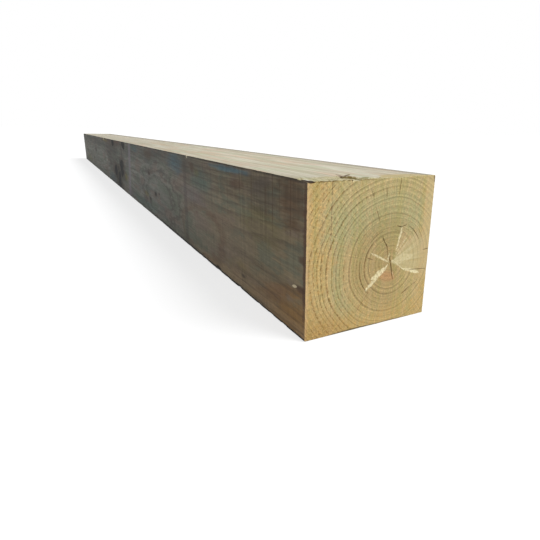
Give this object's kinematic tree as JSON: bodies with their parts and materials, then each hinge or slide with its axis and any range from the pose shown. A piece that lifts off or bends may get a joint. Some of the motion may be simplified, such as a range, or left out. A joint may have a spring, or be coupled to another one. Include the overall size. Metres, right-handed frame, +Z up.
{
  "type": "treated timber beam",
  "caption": "Square sawn softwood beam with a boxed heart, end checks, a ring shake, a torn top edge at one end and small wane on a lower arris.",
  "frame": {"origin": "on the underside, below the middle of the beam's length and width", "axes": "+X along the beam, towards the end with the checks and the torn edge; -Y towards the dark weathered side; +Z up"},
  "size_m": [3.6, 0.2, 0.2],
  "materials": {
    "treated_pine": "rough sawn, pressure treated, weathered grey-brown on one side"
  },
  "bodies": {
    "root": {"beam": "treated_pine"}
  },
  "joints": []
}
